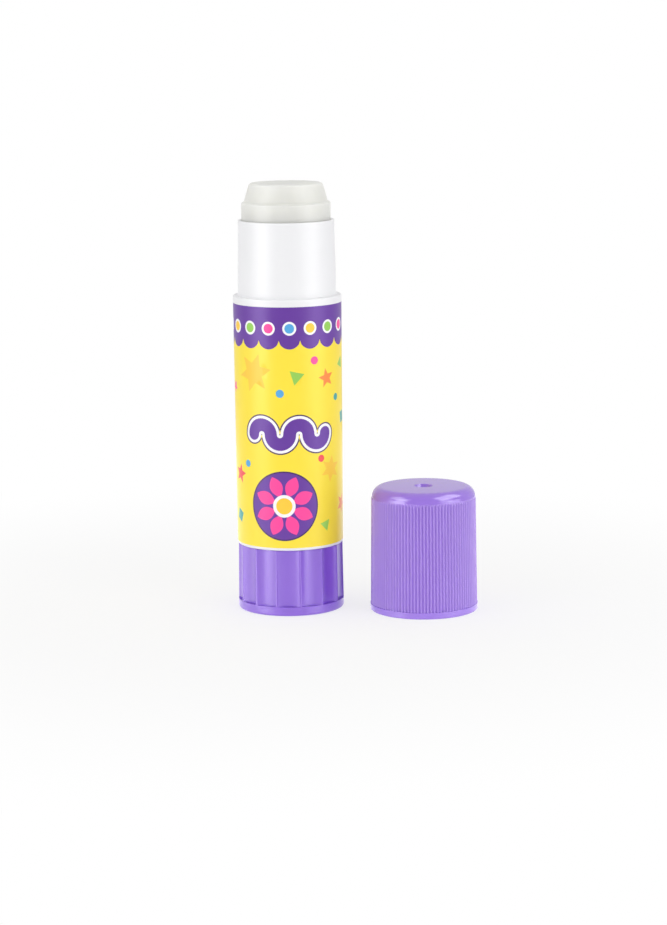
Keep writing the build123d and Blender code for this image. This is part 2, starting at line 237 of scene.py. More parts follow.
def moulded_skin():
    """What moulding and handling leave on plastic: a slow mottle of the colour, flow lines along the length,
    a fine orange peel, and a few hairline scuffs that are rougher than the rest."""
    given = {"Colour": (0.8, 0.8, 0.8, 1.0), "Mottle": 0.03, "Roughness": 0.3, "Scuffs": 0.5}
    tree, given = new_group("moulded_skin", given)
    place = add_node(tree, "ShaderNodeTexCoord").outputs["Object"]
    slow = noise(tree, place, 110, 2)
    flow = noise(tree, place, 420, 2, (1, 1, 0.1))
    peel = noise(tree, place, 2600, 2)
    hairline = noise(tree, place, 900, 1, (1, 1, 0.05), 0.3)
    scuff = math_node(tree, "MULTIPLY", eased(tree, hairline, 0.66, 0.72), given["Scuffs"])
    mottle = math_node(tree, "MULTIPLY_ADD", slow, 1.4, math_node(tree, "MULTIPLY", flow, 0.6))
    colour = scaled(tree, given["Colour"], wavering(tree, 1.0, mottle, given["Mottle"], middle=1.0))
    rough = wavering(tree, given["Roughness"], slow, 0.06)
    rough = wavering(tree, rough, peel, 0.02)
    rough = math_node(tree, "MULTIPLY_ADD", scuff, 0.15, rough)
    height = math_node(tree, "MULTIPLY_ADD", flow, 0.5, math_node(tree, "MULTIPLY", peel, 0.05))
    height = math_node(tree, "MULTIPLY_ADD", scuff, -0.5, height)
    return end_group(tree, colour, rough, height)


def finished(name, group, values, ior, shine, relief, relief_mm):
    """A material whose colour, roughness and relief come from a surface group with its values set. It comes
    with its shader's inputs. ior is the index of refraction and shine the strength of its reflections."""
    material = bpy.data.materials.new(name)
    material.use_nodes = True
    tree = material.node_tree
    shader = tree.nodes["Principled BSDF"].inputs
    surface = add_node(tree, "ShaderNodeGroup", values, node_tree=group, name="surface").outputs
    bump = {"Strength": relief, "Distance": relief_mm * MM, "Height": surface["Height"]}
    tree.links.new(surface["Colour"], shader["Base Color"])
    tree.links.new(surface["Roughness"], shader["Roughness"])
    tree.links.new(add_node(tree, "ShaderNodeBump", bump).outputs[0], shader["Normal"])
    shader["IOR"].default_value = ior
    shader["Specular IOR Level"].default_value = shine
    return material, shader


moulded_skin_group = moulded_skin()


def plastic(name, colour, mottle, roughness, scuffs, relief=0.05, shine=0.5, glow=0.0):
    """Moulded polypropylene: the moulded skin over a body that lets a share of the light, the glow, seep
    through it. A shine of one half is a plain gloss."""
    values = {"Colour": colour, "Mottle": mottle, "Roughness": roughness, "Scuffs": scuffs}
    material, shader = finished(name, moulded_skin_group, values, 1.49, shine, relief, 0.02)
    shader["Subsurface Weight"].default_value = glow
    shader["Subsurface Radius"].default_value = (1.0, 0.9, 0.95)
    shader["Subsurface Scale"].default_value = 1.5 * MM
    return material


body_foot_r = collar_r - body_taper
recess_top_r = collar_r - collar_lean
socket_top_z = tube_foot_z + socket_depth
tube_outline = rounded([
    (neck_rim_r, rim_z, neck_rim_round),
    (neck_rim_r, rim_z - neck_rim_length, 0),
    (neck_seat_r, ledge_z + neck_seat_length, 0),
    (neck_seat_r, ledge_z, neck_foot_round),
    (collar_r, ledge_z, ledge_round),
    (recess_top_r, label_top_z, recess_round),
    (recess_top_r - film_thickness, label_top_z, 0),
    (body_foot_r - film_thickness, label_foot_z, 0),
    (body_foot_r, label_foot_z, recess_round),
    (body_foot_r, tube_foot_z, body_foot_round),
    (socket_r, tube_foot_z, mouth_round),
    (socket_r, groove_middle_z - groove_half, 0),
    (socket_r + groove_depth, groove_middle_z - groove_floor_half, 0),
    (socket_r + groove_depth, groove_middle_z + groove_floor_half, 0),
    (socket_r, groove_middle_z + groove_half, 0),
    (socket_r, socket_top_z, 0),
    (bore_r, socket_top_z, 0),
    (bore_r, guide_top_z - guide_top_chamfer, 0),
    (bore_r, guide_top_z, 0),
    (bore_r, guide_top_z + hair, 0),
    (bore_r, rim_z, mouth_round),
])
tube_turns = round_turns(192, guide_edges(guide_rib_width / 2, bore_r - guide_rib_height))
tube_piece = turned("tube_shell", tube_outline, tube_turns, tube_shape)
white_tube = plastic("white_polypropylene", srgb(236, 236, 238), 0.01, 0.42, 0.3, shine=0.4, glow=0.1)
tube_piece.data.materials.append(white_tube)
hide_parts("tube")
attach(tube_piece, "tube")

# Label: a printed polypropylene film wrapped once round the body in a shallow recess and glued down, with its
# two ends meeting at the back. The print is flat ink under a clear gloss varnish, made here as one thin sheet
# whose faces are divided along the edges of the inks. Its motifs are plain craft shapes on a yellow ground.

label_height = label_top_z - label_foot_z
label_top_r, label_foot_r = recess_top_r, body_foot_r + collar_lean
print_r = (label_top_r + label_foot_r) / 2
print_width = 2 * math.pi * print_r
seam_turn, seam_gap = math.pi / 2, 0.4
front_turn = math.radians(-80.6)


def ring_points(centre, radius, count=48, start=0.0):
    """Points of a circle, evenly spaced from the start angle."""
    angle = start + np.arange(count) * 2 * math.pi / count
    return np.array(centre) + radius * np.stack([np.cos(angle), np.sin(angle)], 1)


def star_points(centre, radius, waist, tips, start):
    """A pointed star: points alternate between the tips' radius and the waist's, tip first."""
    angle = start + np.arange(2 * tips) * math.pi / tips
    reach = np.where(np.arange(2 * tips) % 2 == 0, radius, radius * waist)
    return np.array(centre) + reach[:, None] * np.stack([np.cos(angle), np.sin(angle)], 1)


def petal_points(centre, inner, outer, width, turn, count=16):
    """A petal between two distances from the centre: its half width rises and falls as the sine of the way
    along it, raised to 0.8 so that the ends are blunt."""
    along = np.concatenate([np.linspace(0, 1, count), np.linspace(1, 0, count)[1:-1]])
    side = np.repeat([1.0, -1.0], [count, count - 2])
    x = inner + (outer - inner) * along
    y = side * width / 2 * np.sin(math.pi * along) ** 0.8
    cos, sin = math.cos(turn), math.sin(turn)
    return np.array(centre) + np.stack([x * cos - y * sin, x * sin + y * cos], 1)


def bead_points(start, loops, loop_r, width, count=18):
    """A squeezed bead of half circles that go up and down in turn, as a closed outline: the middle line is
    offset by half the width to each side, and a half circle closes each end."""
    share = np.linspace(0, math.pi, count)[:-1]
    middle, outward = [], []
    for loop in range(loops):
        up = 1 if loop % 2 == 0 else -1
        ray = np.stack([-np.cos(share), up * np.sin(share)], 1)
        middle.append(np.array(start) + [loop_r * (2 * loop + 1), 0] + loop_r * ray)
        outward.append(up * ray)
    last_up = 1 if loops % 2 == 1 else -1
    middle.append(np.array(start)[None] + [[2 * loop_r * loops, 0]])
    outward.append(np.array([[last_up * 1.0, 0.0]]))
    middle, outward = np.concatenate(middle), np.concatenate(outward)
    half = width / 2
    turn = np.linspace(0, math.pi, 12)[1:-1]
    round_end = half * np.stack([np.cos(turn), -np.sin(turn)], 1)
    end_cap = middle[-1] + last_up * round_end
    start_cap = middle[0] + round_end
    return np.concatenate([middle + half * outward, end_cap, (middle - half * outward)[::-1], start_cap])


def valance_points(left, right, foot, top, lobe, drop):
    """A band from left to right along the top whose lower edge is a row of hanging half rounds."""
    x = np.linspace(left, right, int((right - left) / lobe * 16) + 1)
    hang = np.sqrt(np.abs(np.sin(math.pi * (x - left) / lobe)))
    lower = np.stack([x, foot - drop * hang], 1)
    return np.concatenate([lower, [[right, top], [left, top]]])


INKS = {
    "yellow": (251, 226, 66),
    "purple": (104, 60, 158),
    "dark_purple": (72, 44, 96),
    "white": (248, 246, 248),
    "pink": (252, 74, 158),
    "amber": (252, 205, 66),
    "orange": (250, 140, 66),
    "green": (150, 205, 90),
    "teal": (70, 165, 160),
    "blue": (90, 170, 225),
    "red": (240, 78, 84),
}
ink_names = list(INKS)


def label_motifs():
    """The print's shapes as (ink, outline) pairs, the later over the earlier, in millimetres on flat film.
    x runs from the seam round the stick, and y up from the label's foot. The scattered shapes are the same at
    front and back, the bead and the rosette are at the front, and two small flowers flank the seam."""
    lobes, valance_depth, lobe_drop, dots_depth = 16, 7.2, 1.9, 4.6
    lobe = print_width / lobes
    valance_z = label_height - valance_depth
    valance = valance_points(-lobe, print_width + lobe, valance_z, label_height + 1, lobe, lobe_drop)
    motifs = [("purple", valance)]
    dot_inks = ("blue", "amber", "green", "pink")
    for place in range(lobes):
        middle = ((place + 0.5) * lobe, label_height - dots_depth)
        motifs.append(("white", ring_points(middle, 1.5, 28)))
        motifs.append((dot_inks[place % len(dot_inks)], ring_points(middle, 1.05, 24)))
    front_x = print_r * ((front_turn - seam_turn) % (2 * math.pi))
    for left in (front_x - print_width * 3 / 4, front_x - print_width / 4, front_x + print_width / 4):
        if left < 0 or left > front_x:
            for x, y, ink, heart in ((9.6, 25.6, "purple", "amber"), (24.4, 10.4, "pink", "white")):
                for turn in range(6):
                    petal = petal_points((left + x, y), 1.1, 4.2, 2.2, math.pi * (turn + 0.3) / 3)
                    motifs.append((ink, petal))
                motifs.append((heart, ring_points((left + x, y), 1.2, 28)))
            motifs.append(("orange", star_points((left + 24.2, 26.0), 2.4, 0.45, 5, 0.3)))
            motifs.append(("blue", ring_points((left + 12.0, 10.6), 1.1, 22)))
        else:
            for ink, width in (("dark_purple", 4.6), ("white", 4.0), ("purple", 2.8)):
                motifs.append((ink, bead_points((left + 10.2, 25.0), 4, 2.1, width)))
            rosette = (left + 17.2, 9.3)
            motifs.append(("dark_purple", ring_points(rosette, 7.7, 72)))
            motifs.append(("purple", ring_points(rosette, 7.4, 72)))
            for turn in range(8):
                petal = petal_points(rosette, 2.2, 6.9, 2.9, math.pi * (turn + 0.5) / 4)
                motifs.append(("pink", petal))
            motifs.append(("white", ring_points(rosette, 2.5, 36)))
            motifs.append(("amber", ring_points(rosette, 1.8, 32)))
        for ink, x, y, radius, waist, tips, start in (
            ("amber", 10.4, 38.3, 4.4, 0.5, 6, 0.2),
            ("orange", 27.6, 36.9, 2.2, 0.45, 5, 0.5),
            ("red", 5.0, 15.6, 2.3, 0.45, 5, 0.1),
            ("amber", 28.8, 16.8, 3.0, 0.5, 6, 0.4),
            ("pink", 2.6, 34.6, 1.5, 0.45, 5, 0.9),
            ("orange", 33.6, 8.4, 2.4, 0.45, 5, 1.1),
        ):
            motifs.append((ink, star_points((left + x, y), radius, waist, tips, start)))
        for ink, x, y, radius, sides, start in (
            ("green", 20.2, 37.6, 1.9, 3, 0.3),
            ("green", 33.4, 39.6, 1.6, 3, 1.2),
            ("teal", 4.4, 6.2, 1.7, 4, 0.4),
            ("green", 27.0, 4.6, 1.5, 3, 0.8),
            ("teal", 34.4, 27.6, 1.7, 4, 0.9),
            ("blue", 16.6, 34.0, 0.9, 20, 0.0),
            ("pink", 24.4, 41.0, 0.9, 20, 0.0),
            ("teal", 30.8, 32.4, 0.8, 20, 0.0),
            ("red", 25.9, 19.4, 0.8, 20, 0.0),
            ("blue", 8.2, 18.2, 0.8, 20, 0.0),
        ):
            motifs.append((ink, ring_points((left + x, y), radius, sides, start)))
    least, most = 0.5, print_width - 0.5
    return [(ink, shape) for ink, shape in motifs if shape[:, 0].max() > least and shape[:, 0].min() < most]


def printed_sheet(name):
    """The label's sheet. A flat mesh is divided along the edges of all the motifs and over a fine grid, and
    each face takes the ink of the last motif that covers it. The flat mesh is then wrapped on the body's
    slight cone, x becoming the angle round it, and a copy one film's thickness in closes the sheet. The grid
    stands a little off the border's rows, so that none of its points falls on a motif's edge."""
    margin = seam_gap / 2
    left, right = margin, print_width - margin
    columns, rows, aside, above, snap = 169, 41, 0.013, 0.007, 1e-5
    across = np.linspace(left, right, columns)
    up = np.linspace(0, label_height, rows)
    inner = np.stack(np.meshgrid(across[1:-1] + aside, up[1:-1] + above), -1).reshape(-1, 2)
    border = np.concatenate([
        np.stack([across, np.zeros_like(across)], 1),
        np.stack([np.full(len(up) - 1, right), up[1:]], 1),
        np.stack([across[-2::-1], np.full(len(across) - 1, label_height)], 1),
        np.stack([np.full(len(up) - 2, left), up[-2:0:-1]], 1),
    ])
    outlines = [("yellow", border)] + label_motifs()
    points, loops = [], []
    for _, outline in outlines:
        after = np.roll(outline, -1, 0)
        if (outline[:, 0] * after[:, 1] - outline[:, 1] * after[:, 0]).sum() < 0:
            outline = outline[::-1]
        loops.append(list(range(len(points), len(points) + len(outline))))
        points.extend(outline.tolist())
    points.extend(inner.tolist())
    divided = delaunay_2d_cdt([Vector(point) for point in points], [], loops, 1, snap, True)
    flat, triangles, covers = divided[0], divided[2], divided[5]
    inks = [max(cover) for cover in covers if 0 in cover]
    inside = np.array([list(triangle) for triangle, cover in zip(triangles, covers) if 0 in cover])
    used, faces = np.unique(inside, return_inverse=True)
    flat, faces = np.array(flat)[used], faces.reshape(-1, 3)
    a, b, c = flat[faces[:, 0]], flat[faces[:, 1]], flat[faces[:, 2]]
    clockwise = (b[:, 0] - a[:, 0]) * (c[:, 1] - a[:, 1]) - (b[:, 1] - a[:, 1]) * (c[:, 0] - a[:, 0]) < 0
    faces[clockwise] = faces[clockwise][:, ::-1]
    angle = seam_turn + flat[:, 0] / print_r
    radius = label_foot_r + (label_top_r - label_foot_r) * flat[:, 1] / label_height
    shells = []
    for depth in (0, film_thickness):
        reach = radius - depth
        shells.append(np.stack([reach * np.cos(angle), reach * np.sin(angle), label_foot_z + flat[:, 1]], 1))
    count = len(flat)
    edges = np.concatenate([faces[:, [0, 1]], faces[:, [1, 2]], faces[:, [2, 0]]])
    pairs = {tuple(edge) for edge in edges.tolist()}
    rim = np.array([pair for pair in pairs if (pair[1], pair[0]) not in pairs])
    rim_quads = np.stack([rim[:, 1], rim[:, 0], rim[:, 0] + count, rim[:, 1] + count], 1)
    mesh = bpy.data.meshes.new(name)
    all_faces = faces.tolist() + (faces[:, ::-1] + count).tolist() + rim_quads.tolist()
    mesh.from_pydata((np.concatenate(shells) * MM).tolist(), [], all_faces)
    slots = np.zeros(len(all_faces), np.int32)
    slots[: len(faces)] = [ink_names.index(outlines[ink][0]) for ink in inks]
    slots[len(faces):] = ink_names.index("white")
    mesh.polygons.foreach_set("material_index", slots)
    mesh.shade_smooth()
    mesh.set_sharp_from_angle(angle=math.radians(60))
    return placed(name, mesh)


def printed_film():
    """Ink on varnished film: the ink's density wavers slightly, the varnish has a soft uneven gloss, and the
    film keeps a faint waviness from being wound round the body."""
    tree, given = new_group("printed_film", {"Ink": (0.8, 0.8, 0.8, 1.0), "Density": 0.03, "Roughness": 0.25})
    place = add_node(tree, "ShaderNodeTexCoord").outputs["Object"]
    slow = noise(tree, place, 70, 2)
    grain = noise(tree, place, 5200, 2)
    wave = noise(tree, place, 160, 1, (1, 1, 0.35))
    density = math_node(tree, "MULTIPLY_ADD", slow, 1.5, math_node(tree, "MULTIPLY", grain, 0.5))
    colour = scaled(tree, given["Ink"], wavering(tree, 1.0, density, given["Density"], middle=1.0))
    rough = wavering(tree, given["Roughness"], slow, 0.06)
    height = math_node(tree, "MULTIPLY_ADD", wave, 1.0, math_node(tree, "MULTIPLY", grain, 0.04))
    return end_group(tree, colour, rough, height)


label_piece = printed_sheet("label_film")
printed_film_group = printed_film()
for ink_name, ink in INKS.items():
    values = {"Ink": srgb(*ink), "Density": 0.03, "Roughness": 0.33}
    ink_material, _ = finished("label_ink_" + ink_name, printed_film_group, values, 1.5, 0.27, 0.25, 0.05)
    label_piece.data.materials.append(ink_material)
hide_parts("label")
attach(label_piece, "tube")

# Knob: the purple foot that is turned, one polypropylene moulding. Fourteen shallow flutes give grip above a
# plain flange, a ring with a click bead reaches up into the tube, and a boss with four webs holds the screw.

knob_high = np.array(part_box("knob")[1]) / MM
flange_height, foot_round, edge_round = 2.03, 0.5, 0.1
knob_top_z = tube_foot_z - 0.1
ridge_r, ridge_taper, ridge_turn = 11.66, 0.15, math.radians(6.6)
flute_count, flute_depth, ridge_land, ridge_softness = 14, 0.8, 0.3, 0.05
ring_r, ring_top_z, ring_wall, ring_round = socket_r - 0.05, knob_high[2], 0.75, 0.12
bead_height, bead_half, bead_crest_half, bead_round = 0.35, 0.55, 0.2, 0.05
bead_middle_z = knob_top_z + 3.6
knob_floor, foot_recess, foot_pad_r, foot_rim_r = 1.6, 0.4, 3.5, ridge_r - 2.2
hex_reach, boss_wall, boss_top_z = 3.2, 1.5, 9.5
ring_root_round, boss_round, inside_round = 0.05, 0.15, 0.2
boss_r = hex_reach / math.cos(math.pi / 6) + boss_wall
half_chord = ridge_r * math.sin(math.pi / flute_count) - ridge_land / 2
flute_sag = flute_depth - ridge_r + math.sqrt(ridge_r**2 - half_chord**2)
flute_r = (half_chord**2 + flute_sag**2) / (2 * flute_sag)


def soft_least(first, second, softness):
    """The lesser of two values, with the crease between them rounded over the softness."""
    gap = (first - second) / softness
    return (first + second) / 2 - softness / 2 * np.sqrt(gap**2 + 0.5)


def knob_shape(radius, height, angle):
    """Flutes on the barrel: the wall is the lesser of the ridge circle and the flute's own circle, which has
    its middle outside the wall. Both lean in alike towards the top."""
    rise = np.clip((height - flange_height) / (knob_top_z - flange_height), 0, 1)
    lean = ridge_taper * rise
    from_middle = ((angle - ridge_turn) * flute_count / (2 * math.pi)) % 1 - 0.5
    turn = from_middle * 2 * math.pi / flute_count
    centre = ridge_r - flute_depth + flute_r
    flute = centre * np.cos(turn) - np.sqrt(np.maximum(flute_r**2 - (centre * np.sin(turn)) ** 2, 0))
    wall = soft_least(flute, ridge_r, ridge_softness) - lean
    on_barrel = (height >= flange_height) & (height <= knob_top_z + 0.001) & (radius > ring_r + 0.2)
    inset = radius - (ridge_r - lean)
    return np.where(on_barrel, wall + inset, radius), height


# Angles over one flute, packed towards its ridges
half_shares = np.array([0.1, 0.2, 0.3, 0.37, 0.42, 0.45, 0.47, 0.485])
flute_shares = np.concatenate([[-0.5], -half_shares[::-1], [0], half_shares])
knob_turns = (np.arange(flute_count)[:, None] + 0.5 + flute_shares).ravel()
knob_turns = knob_turns * 2 * math.pi / flute_count + ridge_turn
knob_outline = rounded([
    (ring_r, ring_top_z, ring_round),
    (ring_r, bead_middle_z + bead_half, 0),
    (ring_r + bead_height, bead_middle_z + bead_crest_half, bead_round),
    (ring_r + bead_height, bead_middle_z - bead_crest_half, bead_round),
    (ring_r, bead_middle_z - bead_half, 0),
    (ring_r, knob_top_z, ring_root_round),
    (ridge_r - ridge_taper, knob_top_z, edge_round),
    (ridge_r, flange_height + 0.02, 0),
    (ridge_r, flange_height - hair, 0),
    (ridge_r, flange_height - 0.12, 0),
    (ridge_r, 0, foot_round),
    (foot_rim_r, 0, edge_round),
    (foot_rim_r, foot_recess, edge_round),
    (foot_pad_r, foot_recess, edge_round),
    (foot_pad_r, 0, edge_round),
    (0, 0, 0),
], closed=False)
knob_inside = rounded([
    (0, knob_floor, 0),
    (hex_reach, knob_floor, 0),
    (hex_reach, boss_top_z, 0),
    (boss_r, boss_top_z, boss_round),
    (boss_r, knob_floor, inside_round),
    (ring_r - ring_wall, knob_floor, inside_round),
    (ring_r - ring_wall, ring_top_z, ring_round),
], closed=False)
knob_piece = turned("knob_shell", np.vstack([knob_inside, knob_outline]), knob_turns, knob_shape)
purple_knob = plastic(
    "purple_polypropylene_knob", srgb(127, 80, 203), 0.02, 0.33, 0.3, relief=0.025, shine=1.0, glow=0.08
)
knob_piece.data.materials.append(purple_knob)
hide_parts("knob")
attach(knob_piece, "knob")

# Screw and carrier: the two moulded parts inside, of natural white polypropylene. The screw's foot is pressed
# into the knob's boss, and the carrier's nut runs on its thread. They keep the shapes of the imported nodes.

screw_white = plastic("natural_polypropylene", srgb(236, 236, 232), 0.03, 0.4, 0.4, glow=0.1)
for node_name in ("spindle", "carrier"):
    node_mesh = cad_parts[node_name].data
    node_mesh.materials.clear()
    node_mesh.materials.append(screw_white)

# Glue column: the adhesive, a firm translucent wax cast on the carrier. Its tip keeps the stepped, tapered
# shape of the seal that it was cast against, and its sides carry the two grooves that the guide ribs leave.

glue_low, glue_high = (np.array(corner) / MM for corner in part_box("glue_column"))
glue_foot_z, glue_top_z = glue_low[2], glue_high[2]
glue_r, glue_shoulder_z = 9.73, rim_z + 3.65
tip_foot_r, tip_top_r, tip_step = 9.06, 7.97, 0.45
tip_knee_in, tip_knee_up = 0.3, 1.2
tip_round, step_round, shoulder_round = 0.8, 0.25, 0.2
hole_r, hole_top_z = 3.3, 84.85
cup_r, cup_depth = 8.64, 3.0
groove_top_z = guide_top_z + 6.1
groove_half_width = guide_rib_width / 2 + 0.1
groove_reach = bore_r - guide_rib_height - 0.1


def glue_shape(radius, height, angle):
    """Grooves in the side, and the slight unevenness of a casting on the tip: two slow waves round it and one
    up it, a few hundredths of a millimetre high, fading out at the column."""
    groove = guide_relief(angle, groove_half_width, groove_reach) * (radius > glue_r - hair)
    radius = np.where((height <= groove_top_z) & (groove > 0), groove_reach, radius)
    rise = np.clip((height - glue_shoulder_z) / (glue_top_z - glue_shoulder_z), 0, 1)
    uneven = 0.035 * np.sin(3 * angle + 1.1) + 0.025 * np.sin(5 * angle + 4 * rise)
    radius = radius + np.where(radius > 0, uneven * rise * np.clip(radius / tip_top_r, 0, 1), 0)
    sag = 0.03 * np.sin(2 * angle + 0.7) * (radius / tip_top_r) ** 2
    return radius, height - np.where(height > glue_top_z - hair, 0.03 - sag * 0.9, 0)


tip_foot_z = glue_shoulder_z + tip_step
cup_floor_z = glue_foot_z + cup_depth
glue_outline = rounded([
    (0, glue_top_z, 0),
    (3.0, glue_top_z, 0),
    (5.5, glue_top_z, 0),
    (tip_top_r, glue_top_z, tip_round),
    (tip_foot_r - tip_knee_in, tip_foot_z + tip_knee_up, 0),
    (tip_foot_r, tip_foot_z, step_round),
    (glue_r, glue_shoulder_z, shoulder_round),
    (glue_r, groove_top_z + hair, 0),
    (glue_r, groove_top_z, 0),
    (glue_r, cup_floor_z, 0),
    (cup_r, cup_floor_z, 0),
    (cup_r, glue_foot_z, 0),
    (hole_r, glue_foot_z, 0),
    (hole_r, hole_top_z, 0),
    (0, hole_top_z, 0),
], closed=False)
glue_turns = round_turns(160, guide_edges(groove_half_width, groove_reach))
glue_piece = turned("glue_stick_column", glue_outline, glue_turns, glue_shape)


def cast_wax():
    """Cast adhesive: faint clouds in its colour, a soft uneven gloss, and small pits and drag marks."""
    tree, given = new_group("cast_wax", {"Colour": (0.8, 0.8, 0.8, 1.0), "Clouds": 0.04, "Roughness": 0.4})
    place = add_node(tree, "ShaderNodeTexCoord").outputs["Object"]
    clouds = math_node(tree, "MULTIPLY", noise(tree, place, 240, 3), 2.0)
    drag = noise(tree, place, 500, 2, (1, 1, 0.15))
    pits = noise(tree, place, 1900, 2)
    colour = scaled(tree, given["Colour"], wavering(tree, 1.0, clouds, given["Clouds"], middle=1.0))
    rough = wavering(tree, given["Roughness"], drag, 0.2)
    height = math_node(tree, "MULTIPLY_ADD", drag, 0.8, math_node(tree, "MULTIPLY", pits, 0.3))
    return end_group(tree, colour, rough, height)


glue_values = {"Colour": srgb(222, 222, 217), "Clouds": 0.05, "Roughness": 0.42}
glue_material, glue_shader = finished("cast_glue", cast_wax(), glue_values, 1.45, 0.5, 0.35, 0.1)
glue_shader["Subsurface Weight"].default_value = 0.9
glue_shader["Subsurface Radius"].default_value = (1.0, 1.0, 0.92)
glue_shader["Subsurface Scale"].default_value = 6 * MM
glue_piece.data.materials.append(glue_material)
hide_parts("glue_column")
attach(glue_piece, "carrier")

# Cap: a purple polypropylene cup that stands mouth down beside the stick. A hundred fine grip ribs run up its
# wall from a plain band and fade into the rounded crown, whose middle has the gate's dimple. Inside hangs the
# sealing skirt that plugs the neck.

cap_low, cap_high = (np.array(corner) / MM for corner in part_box("cap"))
cap_x, cap_top_z = (cap_low[0] + cap_high[0]) / 2, cap_high[2]
band_r, band_height, band_step, cap_taper = 11.85, 1.45, 0.1, 0.28
wall_foot_r = band_r - band_step
wall_top_r = wall_foot_r - cap_taper
crown_width, crown_height, crown_wall, crown_steps = 2.28, 2.64, 1.3, 19
crown_foot_z, ceiling_z = cap_top_z - crown_height, cap_top_z - crown_wall
gate_r, gate_depth, gate_round = 0.4, 0.35, 0.08
dimple_r, dimple_floor_r, dimple_depth = 2.05, 1.55, 0.6
dimple_edge_round, dimple_floor_round, band_edge_round = 0.12, 0.15, 0.03
cap_foot_round, cap_mouth_round, ceiling_round = 0.3, 0.2, 0.2
seal_foot_round, seal_root_round = 0.18, 0.3
cap_bore_r, cap_bore_top_r, cap_seat_z = 10.75, 10.5, 5.0
seal_foot_z, seal_plug_z, seal_plug_rise = neck_length - 1.5, neck_length, 0.1
seal_r, seal_stem_r, seal_bore_r, seal_draft = 9.74, 9.62, 9.24, 0.4
rib_count, rib_steps, rib_groove_depth, groove_share, groove_end = 100, 10, 0.3, 0.43, 0.35
rib_groove_top_z = crown_foot_z + 0.25


def cap_shape(radius, height, angle):
    """Grooves between the ribs: each is one wave of a cosine across, cut inwards from the wall's straight
    line. It ends square on the band and in a quarter round at the crown's foot."""
    share = (angle * rib_count / (2 * math.pi)) % 1 - 0.5
    across = 0.5 + 0.5 * np.cos(math.pi * np.clip(share / groove_share, -1, 1))
    along = np.clip((rib_groove_top_z - height) / groove_end, 0, 1)
    depth = rib_groove_depth * across * np.sqrt(2 * along - along**2)
    line = wall_foot_r - cap_taper * (height - band_height) / (crown_foot_z - band_height)
    cut = (height >= band_height) & (radius > cap_bore_r) & (radius <= wall_foot_r + 0.001) & (depth > 0)
    return np.where(cut, np.minimum(radius, line - depth), radius), height


crown_arc = np.linspace(0, math.pi / 2, crown_steps)
crown_rows = np.stack([
    wall_top_r - crown_width + crown_width * np.sin(crown_arc),
    crown_foot_z + crown_height * np.cos(crown_arc),
], 1)
dimple_rows = rounded([
    (0, cap_top_z - gate_depth, 0),
    (gate_r, cap_top_z - gate_depth, gate_round),
    (gate_r, cap_top_z - dimple_depth, gate_round),
    (dimple_floor_r, cap_top_z - dimple_depth, dimple_floor_round),
    (dimple_r, cap_top_z, dimple_edge_round),
    (crown_rows[0, 0], cap_top_z, 0),
], closed=False, arc_steps=4)
lower_rows = rounded([
    (wall_top_r, crown_foot_z, 0),
    (wall_top_r + 0.002, crown_foot_z - 0.2, 0),
    (wall_foot_r, band_height + 0.02, 0),
    (wall_foot_r, band_height, 0),
    (band_r, band_height, band_edge_round),
    (band_r, 0, cap_foot_round),
    (cap_bore_r, 0, cap_mouth_round),
    (cap_bore_r, cap_seat_z, 0),
    (cap_bore_top_r, ceiling_z, ceiling_round),
    (seal_stem_r, ceiling_z, 0),
    (seal_stem_r, seal_plug_z + seal_plug_rise, 0),
    (seal_r, seal_plug_z, 0),
    (seal_r, seal_foot_z, seal_foot_round),
    (seal_bore_r, seal_foot_z, 0),
    (seal_bore_r - seal_draft, ceiling_z, seal_root_round),
    (0, ceiling_z, 0),
], closed=False, arc_steps=4)
cap_outline = np.vstack([dimple_rows[:-1], crown_rows, lower_rows[1:]])
rib_shares = np.arange(rib_steps) / rib_steps - 0.5
cap_turns = np.sort(((np.arange(rib_count)[:, None] + 0.5 + rib_shares) * 2 * math.pi / rib_count).ravel())
cap_piece = turned("cap_shell", cap_outline, cap_turns, cap_shape, axis_x=cap_x, sharp_degrees=50)

# The mould's crown was polished and its wall only ground, so that the wall is less glossy; the wall's paler
# rib colour is a painted sheen
crown_colour, crown_roughness = srgb(156, 120, 223), 0.13
painted_sheen_rib_colour, wall_roughness = srgb(161, 127, 219), 0.235
purple_cap = plastic(
    "purple_polypropylene_cap", crown_colour, 0.02, crown_roughness, 0.06, relief=0.012, shine=0.65, glow=0.08
)
cap_tree = purple_cap.node_tree
cap_skin = cap_tree.nodes["surface"].inputs
cap_place = add_node(cap_tree, "ShaderNodeTexCoord").outputs["Object"]
cap_z = add_node(cap_tree, "ShaderNodeSeparateXYZ", {0: cap_place}).outputs[2]
polish = eased(cap_tree, cap_z, (crown_foot_z - 0.2) * MM, (crown_foot_z + 0.8) * MM)
above_band = math_node(cap_tree, "GREATER_THAN", cap_z, band_height * MM)
rib_sheen_share = math_node(cap_tree, "SUBTRACT", above_band, polish)
# Painted sheen: the ribbed wall between the band and the crown's polish takes the paler rib colour instead of
# the crown's purple
colours = {0: rib_sheen_share, 6: crown_colour, 7: painted_sheen_rib_colour}
cap_colour = add_node(cap_tree, "ShaderNodeMix", colours, data_type="RGBA").outputs[2]
cap_rough = math_node(cap_tree, "MULTIPLY_ADD", polish, crown_roughness - wall_roughness, wall_roughness)
cap_tree.links.new(cap_colour, cap_skin["Colour"])
cap_tree.links.new(cap_rough, cap_skin["Roughness"])
cap_piece.data.materials.append(purple_cap)
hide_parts("cap")
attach(cap_piece, "cap")

# Stage: a pale floor that runs out to white, an even room with two tall softboxes at the front left and right
# that light the object, six bright cards that are only seen in its gloss, and the camera at the photograph's
# place.

floor_half, floor_z = 3.0, -0.02 * MM
floor_mesh = bpy.data.meshes.new("floor")
floor_corners = [(x * floor_half, y * floor_half, floor_z) for x, y in ((-1, -1), (1, -1), (1, 1), (-1, 1))]
floor_mesh.from_pydata(floor_corners, [], [(0, 1, 2, 3)])
floor = placed("floor", floor_mesh)


